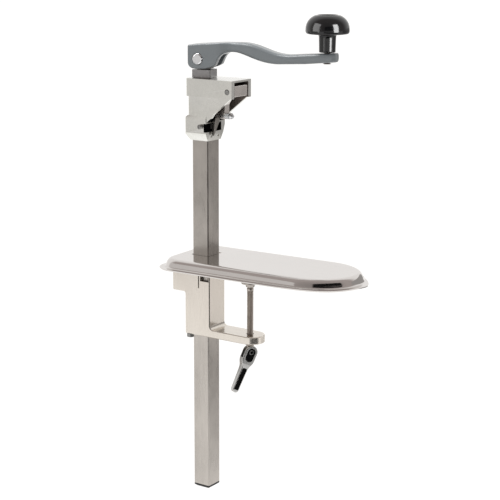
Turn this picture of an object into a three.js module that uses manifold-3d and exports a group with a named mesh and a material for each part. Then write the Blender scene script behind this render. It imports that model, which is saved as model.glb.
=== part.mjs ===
// Bench-clamp can opener: a square bar with a cutting head slides in a C-clamp
// frame under a pressed base plate; a crank on top turns the feed wheel.
// Millimetres, +Z up. The origin is the point where the clamp screw's axis meets
// the bench top; +X runs along the base plate, away from the bar.
import * as THREE from 'three';
import { mergeVertices } from 'three/addons/utils/BufferGeometryUtils.js';
import Module from 'manifold-3d';

const wasm = await Module();
wasm.setup();

// ---------------------------------------------------------------- dimensions
const GAP = 0.3;                 // play left between pieces that touch

const BAR = 26.9;                // square tube, outside
const BAR_WALL = 3;
const BAR_X = -76;               // bar axis, behind the clamp screw's axis
const BAR_BOTTOM = -328.5;
const BAR_TOP = 185.5;
const CAP_HEIGHT = 5;            // end plug below the tube

const FRAME_WIDTH = 37;          // across Y
const FRAME_FRONT = 19;          // all X values below are from the bar axis
const FRAME_REAR = -24;
const BLOCK_REAR = -46;
const BLOCK_BOTTOM = -41.5;
const ARM_REACH = 97.5;
const LOWER_ARM_TOP = -91.5;
const LOWER_ARM_BOTTOM = -102.5;
const UPPER_ARM_TOP = 8;
const GUIDE_HOLE = 30.4;         // square hole for the liners
const LINER_WALL = 1.15;
const SCREW_X = -BAR_X;          // clamp screw axis, from the bar axis

const WINDOW = { x0: 2.8, x1: 17.5, bottom: -22.5 };   // opening beside the saw cut
const BOLT_X = -19.2;
const BOLT_Y = 12;
const PLATE_SCREW_X = 40;
const PLATE_SCREW_Y = 10;

const PLATE_TOP = 13.2;
const SHEET = 1.5;               // plate thickness
const PLATE_YAW = THREE.MathUtils.degToRad(2.5);   // plate sits slightly askew on the bar
const DOME = { rear: -40, front: 245.5, half: 61, corner: 26, nose: 70.5, shoulder: 10.5 };
const RIM = { rear: -45, bend: 120, front: 258, half: 71, corner: 30 };

const HEAD_TOP = 262.5;
const COLLAR_HALF = 22.5;        // across Y
const COLLAR_REAR = -20;
const COLLAR_FRONT = 16.5;
const COLLAR_BOTTOM = 176.5;
const COLLAR_FULL = 187.4;       // taper ends here
const COLLAR_TOP = 207.5;
const SHOULDER_TOP = 211.5;
const NECK_REAR = -14.8;
const NECK_HALF = 21.5;
const BOX_REAR = -17.3;
const BOX_END = 60.3;
const BOX_BOTTOM = 238;
const BOX_HALF = 23;
const WALL_INNER = 17;           // inner faces of the two side walls
const CHAMBER_BOTTOM = 189.5;
const CHAMBER_TOP = 204.2;
const SLEEVE_BORE = 8.1;
const COLLAR_SCREW_X = 8.2;
const COLLAR_SCREW_Z = 197.2;
const BAR_PIN_Y = 8;
const BAR_PIN_Z = 182.5;
const BAR_PIN_RADIUS = 1.6;

const WHEEL_RADIUS = 14.3;
const WHEEL_BOTTOM = 192.5;
const WHEEL_TOP = 200.5;
const SPINDLE_RADIUS = 6;
const SLEEVE_FOOT = 213;
const CONE_START = 216.5;
const CONE_END = 221.5;
const SLEEVE_TOP = 259.8;
const SEAT_HALF = 12.5;
const SEAT_REAR = -15.3;
const SEAT_SKIRT = 262.9;        // lower edge, around the thrust washer
const SEAT_BOTTOM = 264.3;
const WASHER_RADIUS = 10.5;
const SEAT_TOP = 273.9;
const SQUARE = 5.3;              // half the drive square, spindle to cam seat
const PIVOT_X = 52.7;            // cross pin of the jaw arm
const PIVOT_Z = 247.4;

const HOLDER_X = 24;             // face that the knife is clamped against
const KNIFE_Y = -3;
const KNIFE_SCREW_Z = 212.3;

const CRANK_YAW = THREE.MathUtils.degToRad(13);
const PIN_S = -5;                // fork pin, along the crank from the spindle axis
const PIN_Z = 288.9;
const PIN_RADIUS = 7.8;
const CAM_LOW = 13.5;            // pin to seat with the crank down
const CAM_REAR = 14.8;           // pin to rear edge of the hub
const CAM_CORNER = 8.5;          // rounding between the two
const HUB_BOTTOM = PIN_Z - CAM_LOW;
const HUB_WIDTH = 33;
const CRANK_WIDTH = 22;
const CRANK_END = 190.5;
const CRANK_CORNER = 5;
const FORK_GAP = 15;
const KNOB_S = 176.3;            // knob axis, along the crank
const KNOB_BOTTOM = 302.9;

const LEVER_TURN = THREE.MathUtils.degToRad(60);   // way the lever's face looks
const LEVER_TILT = THREE.MathUtils.degToRad(24.5); // lever from straight down
const LEVER_PIN_Z = -118;
const LEVER_THICK = 10.6;
const LEVER_LENGTH = 61;
const LEVER_HUB = 9.6;           // radius of the lever's upper end
const HUB_STRETCH = 8;
const SHANK_RADIUS = 4.7;
const SHANK_TOP = -25;
const TONGUE_TOP = -108.2;
const TONGUE_THICK = 5.6;        // flat end of the screw inside the lever

// ----------------------------------------------------------------- materials
const steel = (color, roughness) =>
  new THREE.MeshStandardMaterial({ color, roughness, metalness: 1 });
const solidColour = (color, roughness) =>
  new THREE.MeshStandardMaterial({ color, roughness, metalness: 0 });

// ------------------------------------------------------------------- helpers
// A closed triangle geometry as a solid for joining and cutting.
function solid(geometry) {
  const bare = geometry.clone();
  bare.deleteAttribute('normal');
  bare.deleteAttribute('uv');
  const merged = mergeVertices(bare, 1e-4);
  return new wasm.Manifold(new wasm.Mesh({
    numProp: 3,
    vertProperties: new Float32Array(merged.attributes.position.array),
    triVerts: new Uint32Array(merged.index.array),
  }));
}

function geometryOf(body) {
  const mesh = body.getMesh();
  const geometry = new THREE.BufferGeometry();
  geometry.setAttribute('position', new THREE.BufferAttribute(mesh.vertProperties, 3));
  geometry.setIndex(new THREE.BufferAttribute(mesh.triVerts, 1));
  return geometry;
}

// join([a, b], [cuts]) = a + b - cuts, on geometries.
function join(parts, cuts = []) {
  let body = parts.map(solid).reduce((a, b) => a.add(b));
  for (const cut of cuts) body = body.subtract(solid(cut));
  return geometryOf(body);
}

const overlap = (a, b) => geometryOf(solid(a).intersect(solid(b)));

function box(x0, x1, y0, y1, z0, z1) {
  const geometry = new THREE.BoxGeometry(x1 - x0, y1 - y0, z1 - z0);
  return geometry.translate((x0 + x1) / 2, (y0 + y1) / 2, (z0 + z1) / 2);
}

// Upright rod, or cone when topRadius is given.
function rod(radius, z0, z1, x = 0, y = 0, sides = 24, topRadius = radius) {
  const geometry = new THREE.CylinderGeometry(topRadius, radius, z1 - z0, sides);
  return geometry.rotateX(Math.PI / 2).translate(x, y, (z0 + z1) / 2);
}

// Rod along Y between y0 and y1.
function rodY(radius, y0, y1, x, z, sides = 24) {
  return new THREE.CylinderGeometry(radius, radius, y1 - y0, sides)
    .translate(x, (y0 + y1) / 2, z);
}

// Rod along X between x0 and x1.
function rodX(radius, x0, x1, y, z, sides = 24) {
  return new THREE.CylinderGeometry(radius, radius, x1 - x0, sides)
    .rotateZ(-Math.PI / 2).translate((x0 + x1) / 2, y, z);
}

// Solid of revolution about Z from [radius, z] pairs.
function turned(profile, sides = 32) {
  const points = profile.map(([r, z]) => new THREE.Vector2(r, z));
  return new THREE.LatheGeometry(points, sides).rotateX(Math.PI / 2);
}

// Flat shape with straight sides from [x, y] pairs.
const shapeOf = (points) => new THREE.Shape(points.map(([x, y]) => new THREE.Vector2(x, y)));

// Shape in the XY plane raised from z0 to z1.
function raise(shape, z0, z1, curveSegments = 10) {
  return new THREE.ExtrudeGeometry(shape, { depth: z1 - z0, bevelEnabled: false, curveSegments })
    .translate(0, 0, z0);
}

// Shape in the XZ plane carried from y0 to y1.
function carry(shape, y0, y1, curveSegments = 10) {
  return new THREE.ExtrudeGeometry(shape, { depth: y1 - y0, bevelEnabled: false, curveSegments })
    .rotateX(Math.PI / 2).translate(0, y1, 0);
}

// Shape drawn in the YZ plane, thick from x0 to x1.
function stand(shape, x0, x1, curveSegments = 8) {
  return raise(shape, x0, x1, curveSegments).applyMatrix4(new THREE.Matrix4().set(
    0, 0, 1, 0,
    1, 0, 0, 0,
    0, 1, 0, 0,
    0, 0, 0, 1));
}

// Frustum between two centred rectangles: [x0, x1, halfY, z] at each end.
function frustum(low, high) {
  const corners = ([x0, x1, half, z]) => [[x0, -half, z], [x1, -half, z], [x1, half, z], [x0, half, z]];
  const position = new Float32Array([...corners(low), ...corners(high)].flat());
  const index = [0, 2, 1, 0, 3, 2, 4, 5, 6, 4, 6, 7];
  for (let i = 0; i < 4; i += 1) {
    const j = (i + 1) % 4;
    index.push(i, j, j + 4, i, j + 4, i + 4);
  }
  const geometry = new THREE.BufferGeometry();
  geometry.setAttribute('position', new THREE.BufferAttribute(position, 3));
  geometry.setIndex(index);
  return geometry;
}

function squareTube(side, wall, z0, z1) {
  const outer = side / 2;
  const inner = outer - wall;
  return join([box(-outer, outer, -outer, outer, z0, z1)],
    [box(-inner, inner, -inner, inner, z0 - 1, z1 + 1)]);
}

function piece(name, geometry, material, parent) {
  const mesh = new THREE.Mesh(geometry, material);
  mesh.name = name;
  parent.add(mesh);
  return mesh;
}

// -------------------------------------------------------------------- groups
const opener = new THREE.Group();
const post = new THREE.Group();          // everything measured from the bar axis
post.position.x = BAR_X;
const crank = new THREE.Group();         // the crank's own direction is its X
crank.rotation.z = CRANK_YAW;
post.add(crank);
const knobSet = new THREE.Group();
knobSet.position.x = KNOB_S;
crank.add(knobSet);
const screwSet = new THREE.Group();      // the lever's face looks along this X
screwSet.rotation.z = LEVER_TURN - Math.PI / 2;
const leverSet = new THREE.Group();
leverSet.position.z = LEVER_PIN_Z;
leverSet.rotation.x = -LEVER_TILT;
screwSet.add(leverSet);
opener.add(post, screwSet);

// --------------------------------------------------------------- clamp frame
function clampFrame() {
  const half = FRAME_WIDTH / 2;
  const hole = GUIDE_HOLE / 2;
  const fillet = 6;
  const side = new THREE.Shape();
  side.moveTo(FRAME_REAR, LOWER_ARM_BOTTOM);
  side.lineTo(ARM_REACH, LOWER_ARM_BOTTOM);
  side.lineTo(ARM_REACH, LOWER_ARM_TOP);
  side.lineTo(FRAME_FRONT + fillet, LOWER_ARM_TOP);
  side.absarc(FRAME_FRONT + fillet, LOWER_ARM_TOP + fillet, fillet, -Math.PI / 2, Math.PI, true);
  side.lineTo(FRAME_FRONT, 0);
  side.lineTo(ARM_REACH, 0);
  side.lineTo(ARM_REACH, UPPER_ARM_TOP);
  side.lineTo(-33, UPPER_ARM_TOP);
  side.lineTo(-33, -GAP);
  side.lineTo(BLOCK_REAR, -GAP);
  side.lineTo(BLOCK_REAR, BLOCK_BOTTOM);
  side.lineTo(FRAME_REAR - 1.5, BLOCK_BOTTOM);
  side.lineTo(FRAME_REAR, BLOCK_BOTTOM - 1.5);
  side.closePath();
  const plan = new THREE.Shape();
  plan.moveTo(BLOCK_REAR, -half);
  plan.lineTo(ARM_REACH - half, -half);
  plan.absarc(ARM_REACH - half, 0, half, -Math.PI / 2, Math.PI / 2, false);
  plan.lineTo(BLOCK_REAR, half);
  plan.closePath();
  const body = overlap(carry(side, -half, half), raise(plan, -110, 20, 12));
  const cuts = [
    box(-hole, hole, -hole, hole, -110, 20),
    box(-1.2, 1.2, -half - 1, -hole + 1, -33, 20),             // saw cut
    box(WINDOW.x0, WINDOW.x1, -half - 1, -hole + 1, WINDOW.bottom, 20),
    rod(5.3, -110, -80, SCREW_X),
  ];
  for (const y of [-BOLT_Y, BOLT_Y]) cuts.push(rod(3.3, -110, -62, BOLT_X, y, 16));
  for (const y of [-PLATE_SCREW_Y, PLATE_SCREW_Y]) {
    cuts.push(rod(2.9, -1, 9, PLATE_SCREW_X, y, 16));
    cuts.push(rod(6.1, -0.2, 3.1, PLATE_SCREW_X, y, 16, 2.9));
  }
  return join([body], cuts);
}
piece('clamp_frame', clampFrame(), steel(0xcfc9c0, 0.38), post);

const liner = solidColour(0xd8d4c8, 0.55);
const LINERS = { guide_liner_upper: [-58, -26], guide_liner_lower: [-102, -70] };
for (const [name, [z0, z1]] of Object.entries(LINERS)) {
  piece(name, squareTube(GUIDE_HOLE - 2 * GAP, LINER_WALL, z0, z1), liner, post);
}

const boltSteel = steel(0x8c8c8a, 0.35);
[-BOLT_Y, BOLT_Y].forEach((y, i) => {
  const bolt = join([rod(5.8, -108.5, LOWER_ARM_BOTTOM - GAP, BOLT_X, y, 6),
    rod(3, LOWER_ARM_BOTTOM - 1, -64, BOLT_X, y, 16)]);
  piece(`guide_bolt_${i + 1}`, bolt, boltSteel, post);
});

// ---------------------------------------------------------------- base plate
// Dome with rounded shoulders from `bottom` up to `top`, shrunk by `inset`.
function dome(inset, bottom, top) {
  const { shoulder } = DOME;
  const half = DOME.half - inset;
  const corner = DOME.corner - inset;
  const rear = DOME.rear + inset;
  const nose = DOME.nose - inset;
  const noseX = DOME.front - DOME.nose;
  const shape = new THREE.Shape();
  shape.moveTo(rear + corner, -half);
  shape.absellipse(noseX, 0, nose, half, -Math.PI / 2, Math.PI / 2, false);
  shape.absarc(rear + corner, half - corner, corner, Math.PI / 2, Math.PI, false);
  shape.absarc(rear + corner, -half + corner, corner, Math.PI, Math.PI * 1.5, false);
  const full = new THREE.ExtrudeGeometry(shape, {
    depth: 2 * (top - shoulder), bevelThickness: shoulder, bevelSize: shoulder,
    bevelOffset: -shoulder, bevelSegments: 3, curveSegments: 10,
  }).translate(0, 0, -(top - shoulder));
  return overlap(full, box(-200, 400, -200, 200, bottom, 100));
}

// Flat rim: straight sides, rounded rear, and a blunt point at the nose.
function rimShape() {
  const { rear, bend, front, half, corner } = RIM;
  const rim = new THREE.Shape();
  rim.moveTo(rear + corner, -half);
  rim.lineTo(bend, -half);
  rim.bezierCurveTo(215, -half, 246, -62, front, 0);
  rim.bezierCurveTo(240, 50, 190, half, bend, half);
  rim.lineTo(rear + corner, half);
  rim.absarc(rear + corner, half - corner, corner, Math.PI / 2, Math.PI, false);
  rim.absarc(rear + corner, -half + corner, corner, Math.PI, Math.PI * 1.5, false);
  return rim;
}

function basePlate() {
  const outside = [dome(0, 0, PLATE_TOP), raise(rimShape(), 0, SHEET, 8)];
  const hollow = dome(SHEET, -1, PLATE_TOP - SHEET);
  return join(outside.map((geometry) => geometry.rotateZ(PLATE_YAW)), [
    hollow.rotateZ(PLATE_YAW),
    box(-15.8, 14.1, -14.1, 18.6, 5, 20),                          // way for the bar
  ]);
}
piece('base_plate', basePlate(), steel(0xdcdcda, 0.14), post);

const zinc = steel(0xb4b4b0, 0.3);
[-PLATE_SCREW_Y, PLATE_SCREW_Y].forEach((y, i) => {
  const screw = join([rod(5.5, 0.2, 2.9, PLATE_SCREW_X, y, 16, 2.5),
    rod(2.5, 1.5, 11.2, PLATE_SCREW_X, y, 16)]);
  piece(`plate_screw_${i + 1}`, screw, zinc, post);
  const nut = join([rod(5.4, UPPER_ARM_TOP + GAP, PLATE_TOP - SHEET - GAP, PLATE_SCREW_X, y, 6)],
    [rod(2.9, 0, 20, PLATE_SCREW_X, y, 16)]);
  piece(`weld_nut_${i + 1}`, nut, zinc, post);
});

// --------------------------------------------------------------- bar and cap
// Holes along X for the two pins that hold the bar in the head.
const barPinHoles = () => [-BAR_PIN_Y, BAR_PIN_Y].map(
  (y) => rodX(BAR_PIN_RADIUS + GAP, -30, 30, y, BAR_PIN_Z, 12));
piece('square_bar', join([squareTube(BAR, BAR_WALL, BAR_BOTTOM, BAR_TOP)], barPinHoles()),
  steel(0x8f8c88, 0.36), post);

const black = solidColour(0x151515, 0.4);
function endCap() {
  const foot = BAR / 2;
  const z = BAR_BOTTOM - GAP;
  const plug = BAR / 2 - BAR_WALL - GAP;
  return join([
    frustum([-foot + 3.3, foot - 3.3, foot - 3.3, z - CAP_HEIGHT + GAP], [-foot, foot, foot, z - 1.5]),
    box(-foot, foot, -foot, foot, z - 1.5, z),
    box(-plug, plug, -plug, plug, z - 1, z + 16)]);
}
piece('bar_end_cap', endCap(), black, post);

// ---------------------------------------------------------------- head body
// Rectangle in plan, square in front and rounded at its two rear corners.
function roundedRear(rear, front, half, radius) {
  const shape = new THREE.Shape();
  shape.moveTo(front, -half);
  shape.lineTo(front, half);
  shape.absarc(rear + radius, half - radius, radius, Math.PI / 2, Math.PI, false);
  shape.absarc(rear + radius, -half + radius, radius, Math.PI, Math.PI * 1.5, false);
  shape.closePath();
  return shape;
}

function headBody() {
  const collarPlan = roundedRear(COLLAR_REAR, COLLAR_FRONT, COLLAR_HALF, 3.5);
  const within = raise(collarPlan, COLLAR_BOTTOM - 1, SHOULDER_TOP + 1, 4);
  const collar = raise(collarPlan, COLLAR_FULL, COLLAR_TOP, 4);
  const taper = overlap(within, frustum([-15.2, 14.6, 15.2, COLLAR_BOTTOM],
    [COLLAR_REAR, COLLAR_FRONT, COLLAR_HALF, COLLAR_FULL]));
  const shoulder = overlap(within, frustum([COLLAR_REAR, COLLAR_FRONT, COLLAR_HALF, COLLAR_TOP],
    [NECK_REAR, COLLAR_FRONT, NECK_HALF, SHOULDER_TOP]));
  // side view of the middle: slanted mouth from the box down to the collar
  const middle = overlap(carry(shapeOf([
    [-20, COLLAR_TOP - 1], [16.5, 203], [24.8, 209.4], [28.8, 215.2], [BOX_END, BOX_BOTTOM + 2.4],
    [BOX_END, BOX_BOTTOM + 3], [-20, BOX_BOTTOM + 3],
  ]), -NECK_HALF, NECK_HALF), raise(roundedRear(NECK_REAR, 80, NECK_HALF, 3), 190, 250, 4));
  const upperBox = raise(roundedRear(BOX_REAR, BOX_END, BOX_HALF, 3), BOX_BOTTOM, HEAD_TOP, 4);
  const spigot = BAR / 2 - BAR_WALL - GAP;
  const socket = BAR / 2 + GAP;
  const cuts = [
    box(-socket, socket, -socket, socket, 100, BAR_TOP + GAP),
    rod(15.2, CHAMBER_BOTTOM, CHAMBER_TOP, 0, 0, 32),
    box(13, 30, -30, 14, CHAMBER_BOTTOM, 201.5),                   // window for the rim
    rod(8.3, CHAMBER_TOP - 1, 212.5),                              // lower bush seat
    rod(10.8, 212.3, 229),                                         // room for the cone
    rod(SLEEVE_BORE, 228, 300),
    box(0, 20, -6.5, 6.5, 216.5, 230),                             // way for the heel
    box(17, 80, -WALL_INNER, WALL_INNER, 150, 240),                // mouth
    box(17, 80, -16.5, 16.5, 239, 259.8),                          // inside of the box
    rodY(3.8, -40, 40, PIVOT_X, PIVOT_Z),
    rodY(2.3, -40, -12, COLLAR_SCREW_X, COLLAR_SCREW_Z, 16),
    // the far side of the collar tapers from higher up
    stand(shapeOf([[COLLAR_HALF, 197], [15.2, COLLAR_BOTTOM], [30, COLLAR_BOTTOM], [30, 197]]), -30, 30),
  ];
  const shell = join([collar, taper, shoulder, middle, upperBox], cuts);
  const core = box(-spigot, spigot, -spigot, spigot, 142, BAR_TOP + 2);
  return join([shell, core], barPinHoles());
}
const castNickel = steel(0xd2d2ca, 0.26);
piece('head_body', headBody(), castNickel, post);

const pinSteel = steel(0x9a9a98, 0.3);
[-BAR_PIN_Y, BAR_PIN_Y].forEach((y, i) => {
  const pin = join([rodX(BAR_PIN_RADIUS, -14.3, 14.3, y, BAR_PIN_Z, 12)],
    [rodX(0.8, -20, 20, y, BAR_PIN_Z, 8)]);
  piece(`bar_pin_${i + 1}`, pin, pinSteel, post);
});
piece('cross_pin', rodY(3.5, -23, 23, PIVOT_X, PIVOT_Z), pinSteel, post);
const collarScrew = join([
  rodY(2, -23.5, -17, COLLAR_SCREW_X, COLLAR_SCREW_Z, 16),
  rodY(3.2, -27.5, -22.8, COLLAR_SCREW_X, COLLAR_SCREW_Z),
]);
piece('collar_screw', collarScrew, pinSteel, post);

const bronze = steel(0xb08a55, 0.4);
piece('spindle_bush', join([rod(8, CHAMBER_TOP + 0.2, 212)],
  [rod(SPINDLE_RADIUS + GAP, 200, 220)]), bronze, post);
piece('thrust_washer', join([rod(WASHER_RADIUS, HEAD_TOP + GAP, SEAT_BOTTOM - GAP, 0, 0, 32)],
  [rod(8.1, 260, 270)]), steel(0xc4c4c2, 0.3), post);

// ------------------------------------------------- lifting sleeve and spindle
// Rises with the crank; its cone then pushes the jaw arm's heel outwards.
function liftSleeve() {
  return join([
    rod(10.4, SLEEVE_FOOT, CONE_START),
    rod(10.4, CONE_START, CONE_END, 0, 0, 24, 7.8),
    rod(7.8, CONE_END, SLEEVE_TOP),
  ], [rod(SPINDLE_RADIUS + GAP, 200, 270)]);
}
piece('lift_sleeve', liftSleeve(), bronze, post);

function spindle() {
  const stem = box(-9.5, 9.5, -7.2, 7.2, HUB_BOTTOM - 0.2, PIN_Z);
  const eye = rodY(12, -7.2, 7.2, PIN_S, PIN_Z, 36);
  return join([
    rod(SPINDLE_RADIUS, WHEEL_TOP + GAP, 260.8),
    box(-SQUARE, SQUARE, -SQUARE, SQUARE, 260.4, HUB_BOTTOM + 1),
    box(-3.4, 3.4, -3.4, 3.4, WHEEL_BOTTOM + 0.4, WHEEL_TOP + 1),
    stem, eye,
  ], [rodY(PIN_RADIUS + GAP, -20, 20, PIN_S, PIN_Z, 28), rod(1.6, 190, 210, 0, 0, 12)]);
}
piece('spindle', spindle(), steel(0x7f7f7d, 0.38), crank);

function feedWheel() {
  const teeth = 28;
  const points = [];
  for (let i = 0; i < 2 * teeth; i += 1) {
    const angle = Math.PI * i / teeth;
    const radius = i % 2 === 0 ? WHEEL_RADIUS : WHEEL_RADIUS - 1.3;
    points.push([radius * Math.cos(angle), radius * Math.sin(angle)]);
  }
  return join([raise(shapeOf(points), WHEEL_BOTTOM, WHEEL_TOP)], [box(-3.7, 3.7, -3.7, 3.7, 180, 210)]);
}
piece('feed_wheel', feedWheel(), steel(0x4a4a4a, 0.45), crank);
piece('wheel_screw', join([rod(6, 190.1, WHEEL_BOTTOM - 0.2), rod(1.3, 191, 206, 0, 0, 12)]),
  pinSteel, crank);

function camSeat() {
  const hole = SQUARE + GAP;
  return join([box(SEAT_REAR, SEAT_HALF, -SEAT_HALF, SEAT_HALF, SEAT_SKIRT, SEAT_TOP)], [
    box(-hole, hole, -hole, hole, SEAT_SKIRT - 1, SEAT_TOP + 1),
    rod(WASHER_RADIUS + GAP, SEAT_SKIRT - 1, SEAT_BOTTOM, 0, 0, 32),
  ]);
}
piece('cam_seat', camSeat(), steel(0x8c8a86, 0.42), crank);

// ------------------------------------------------------------- crank handle
function crankHandle() {
  const side = new THREE.Shape();
  side.moveTo(2, HUB_BOTTOM);
  side.quadraticCurveTo(13, HUB_BOTTOM + 0.6, 20.8, 281);
  side.quadraticCurveTo(24, 291, 37.3, 298.4);
  side.quadraticCurveTo(44, 299.6, 51.7, 298.6);
  side.bezierCurveTo(78, 294.5, 85, 284.8, 108.6, 284.8);
  side.lineTo(148.4, 286.6);
  side.lineTo(CRANK_END, 290.4);
  side.lineTo(CRANK_END, 302.3);
  side.lineTo(168, 301.2);
  side.lineTo(128.4, 298.2);
  side.bezierCurveTo(92, 294.6, 86, 312.4, 53.7, 312);
  side.lineTo(27, 311.2);
  side.lineTo(PIN_S - CAM_REAR + 1.2, 307.4);
  side.lineTo(PIN_S - CAM_REAR, 306.2);
  side.lineTo(PIN_S - CAM_REAR, HUB_BOTTOM + CAM_CORNER);
  side.absarc(PIN_S - CAM_REAR + CAM_CORNER, HUB_BOTTOM + CAM_CORNER, CAM_CORNER,
    Math.PI, Math.PI * 1.5, false);
  side.closePath();

  const hub = HUB_WIDTH / 2;
  const arm = CRANK_WIDTH / 2;
  const plan = new THREE.Shape();
  plan.moveTo(-25, -hub);
  plan.lineTo(21, -hub);
  plan.bezierCurveTo(34, -hub, 34, -arm, 48, -arm);
  plan.lineTo(CRANK_END - CRANK_CORNER, -arm);
  plan.absarc(CRANK_END - CRANK_CORNER, -arm + CRANK_CORNER, CRANK_CORNER, -Math.PI / 2, 0, false);
  plan.absarc(CRANK_END - CRANK_CORNER, arm - CRANK_CORNER, CRANK_CORNER, 0, Math.PI / 2, false);
  plan.lineTo(48, arm);
  plan.bezierCurveTo(34, arm, 34, hub, 21, hub);
  plan.lineTo(-25, hub);
  plan.closePath();

  const fork = new THREE.Shape();
  fork.moveTo(-25, 302.5);
  fork.lineTo(8, 302.5);
  fork.quadraticCurveTo(26, 301, 33, 293);
  fork.lineTo(33, 265);
  fork.lineTo(-25, 265);
  fork.closePath();

  const body = overlap(carry(side, -hub, hub, 8), raise(plan, 260, 320, 8));
  return join([body], [
    carry(fork, -FORK_GAP / 2, FORK_GAP / 2, 6),
    rodY(PIN_RADIUS + GAP, -30, 30, PIN_S, PIN_Z, 28),
    rod(4.3, 270, 310, KNOB_S, 0, 20),
  ]);
}
piece('crank_handle', crankHandle(), solidColour(0x7b8286, 0.38), crank);

const chrome = steel(0xe4e6e8, 0.08);
function forkPin() {
  const reach = HUB_WIDTH / 2;
  const crown = 1.2;
  return turned([[0, -reach - crown], [4.5, -reach - 0.7 * crown], [PIN_RADIUS, -reach],
    [PIN_RADIUS, reach], [4.5, reach + 0.7 * crown], [0, reach + crown]], 28)
    .rotateX(Math.PI / 2).translate(PIN_S, 0, PIN_Z);
}
piece('fork_pin', forkPin(), chrome, crank);

// ---------------------------------------------------------------------- knob
piece('knob_stud', turned([[0, 286.4], [4.6, 286.6], [5.5, 287.3], [5.5, 288], [4, 288],
  [4, 344], [6.6, 344], [6.6, 346.6], [0, 346.6]], 20), chrome, knobSet);
piece('knob', turned([[4.4, KNOB_BOTTOM], [11.2, KNOB_BOTTOM], [11.4, 318], [11.7, 324.6], [12.7, 327],
  [15.5, 328.1], [26.5, 328.6], [28.4, 329.2], [29.3, 331], [29.4, 333.4], [28.7, 338.2], [26.6, 343.4],
  [22.8, 347.9], [17.8, 351.2], [12.8, 352.3], [11.3, 351.4], [11.3, 349.1], [7.4, 349.1], [7.4, 343.4],
  [4.4, 343.4], [4.4, KNOB_BOTTOM]], 36), solidColour(0x0d0d0f, 0.16), knobSet);
piece('knob_cap', turned([[0, 349.4], [8.3, 349.4], [8.3, 351], [7.6, 351.7], [0, 351.9]], 32),
  solidColour(0xb9b9b6, 0.35), knobSet);

// ------------------------------------------------------- jaw arm and its knife
function jawArm() {
  const side = shapeOf([
    [9.6, 222.4], [11, 220.2], [24, 219], [HOLDER_X, 207.7], [36.4, 207.7], [36.4, 228],
    [45, 240.3], [59.5, 240.3], [59.5, 255.2], [22, 255.2], [22, 240.3], [29.5, 234],
    [29.5, 227], [11, 227], [9.6, 225.6],
  ]);
  const block = box(20, 60, -15, 15, 240.3, 256);
  const web = carry(side, -5.5, 5.5);
  const top = overlap(carry(side, -15, 15), block);
  return join([web, top], [
    rodY(3.8, -40, 40, PIVOT_X, PIVOT_Z),
    box(46.8, 58.4, -4.5, 4.5, 241.8, 260),                        // pocket of the spring
    rodX(2.8, 0, 60, KNIFE_Y, KNIFE_SCREW_Z, 16),
  ]);
}
piece('jaw_arm', jawArm(), castNickel, post);

function jawSpring() {
  const turns = 3;
  const radius = 4.6;
  const wire = 0.6;
  const points = [];
  for (let i = 0; i <= turns * 12; i += 1) {
    const angle = i * Math.PI / 6;
    points.push(new THREE.Vector3(PIVOT_X + radius * Math.cos(angle),
      -2.9 + 5.8 * i / (turns * 12), PIVOT_Z + radius * Math.sin(angle)));
  }
  const round = new THREE.Shape();
  round.absarc(0, 0, wire, 0, Math.PI * 2, false);
  return new THREE.ExtrudeGeometry(round, {
    steps: points.length - 1, curveSegments: 3, bevelEnabled: false,
    extrudePath: new THREE.CatmullRomCurve3(points),
  });
}
piece('jaw_spring', jawSpring(), steel(0x8a8a88, 0.3), post);

function knife() {
  // pointed blade, seen along X: straight front edge, slanted cutting edge
  const face = shapeOf([[-9, 207], [-9, 184.5], [-8, 183.5], [0.6, 203], [1.5, 217], [-8.5, 217]]);
  const blank = stand(face, 17.4, 23.6);
  const bevel = carry(shapeOf([[19.6, 180], [30, 180], [30, 207], [23.7, 207]]), -20, 20);
  return join([blank], [bevel, rodX(2.3, 19, 40, KNIFE_Y, KNIFE_SCREW_Z, 16)]);
}
piece('knife', knife(), steel(0xc8c8ca, 0.2), post);

function knifeScrew() {
  const shank = rodX(2, 19.3, 45, KNIFE_Y, KNIFE_SCREW_Z, 16);
  const head = turned([[0, 0], [4.2, 0], [4.2, 2], [3.2, 4], [1.6, 5], [0, 5.2]], 20)
    .rotateY(Math.PI / 2).translate(44.5, KNIFE_Y, KNIFE_SCREW_Z);
  return join([shank, head]);
}
piece('knife_screw', knifeScrew(), chrome, post);

function lockNut() {
  const ribs = 18;
  const points = [];
  for (let i = 0; i < 2 * ribs; i += 1) {
    const angle = Math.PI * i / ribs;
    const radius = i % 2 === 0 ? 4.4 : 3.9;
    points.push([radius * Math.cos(angle), radius * Math.sin(angle)]);
  }
  const nut = raise(shapeOf(points), 0, 6.6).rotateY(Math.PI / 2).translate(36.8, KNIFE_Y, KNIFE_SCREW_Z);
  return join([nut], [rodX(2.3, 30, 50, KNIFE_Y, KNIFE_SCREW_Z, 16)]);
}
piece('knife_lock_nut', lockNut(), chrome, post);

// ------------------------------------------------------- clamp screw and foot
const screwSteel = steel(0x86807a, 0.4);
piece('screw_foot', turned([[0, -17.4], [3.4, -17.4], [3.4, -23.8], [6, -23.8], [6.7, -19.6],
  [12.1, -19], [12.6, -18.4], [12.4, -15.6], [0, -15.6]], 28), steel(0xa9a49c, 0.35), screwSet);

function clampScrew() {
  const half = TONGUE_THICK / 2;
  return join([
    rod(3, SHANK_TOP - 1, -17.8, 0, 0, 20),
    rod(SHANK_RADIUS, TONGUE_TOP, SHANK_TOP, 0, 0, 20),
    box(-half, half, -SHANK_RADIUS, SHANK_RADIUS, LEVER_PIN_Z, TONGUE_TOP + 0.4),
    rodX(SHANK_RADIUS, -half, half, 0, LEVER_PIN_Z),
  ], [rodX(2.8, -20, 20, 0, LEVER_PIN_Z, 16)]);
}
piece('clamp_screw', clampScrew(), screwSteel, screwSet);

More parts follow.
